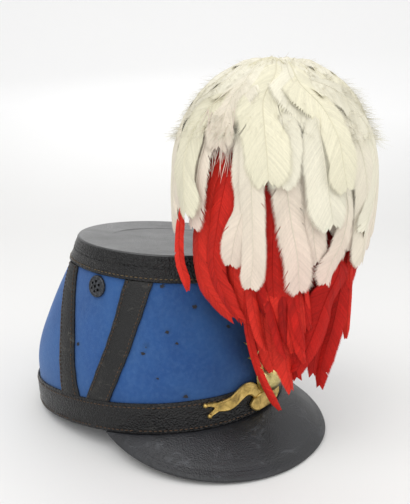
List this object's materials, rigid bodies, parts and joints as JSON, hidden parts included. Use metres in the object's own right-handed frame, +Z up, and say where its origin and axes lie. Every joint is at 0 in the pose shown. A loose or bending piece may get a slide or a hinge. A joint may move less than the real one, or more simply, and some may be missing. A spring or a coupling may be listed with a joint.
{
  "type": "plumed dress shako",
  "caption": "Tapered cloth dress cap with leather bands, side straps, a peak, a brass front badge, side vents and a drooping two-colour feather plume on a post.",
  "frame": {"origin": "middle of the footprint, on the table that the hat stands on", "axes": "+Z up, -Y towards the front, where the peak, badge and plume are, +X to the wearer's left"},
  "size_m": [0.174, 0.2716, 0.259],
  "materials": {
    "blue_cloth": "mid-blue felted wool, worn, with a few moth holes",
    "black_leather": "black grained leather with a soft sheen, stitched in ochre thread",
    "peak_leather": "black waxed leather, worn and finely creased",
    "black_enamel": "blackened metal, worn at the edges",
    "brass": "stamped brass, aged and dulled",
    "white_feather": "ivory cock feathers",
    "red_feather": "scarlet dyed cock feathers"
  },
  "bodies": {
    "root": {"crown_cloth": "blue_cloth", "crown_top": "black_leather", "top_band": "black_leather", "headband": "black_leather", "strap_right_front": "black_leather", "strap_right_rear": "black_leather", "strap_left_front": "black_leather", "strap_left_rear": "black_leather", "peak": "peak_leather", "vent_right": "black_enamel", "vent_left": "black_enamel", "badge_scroll": "brass", "badge_grenade": "brass", "plume_post": "brass", "plume_white": "white_feather", "plume_red": "red_feather"}
  },
  "joints": []
}
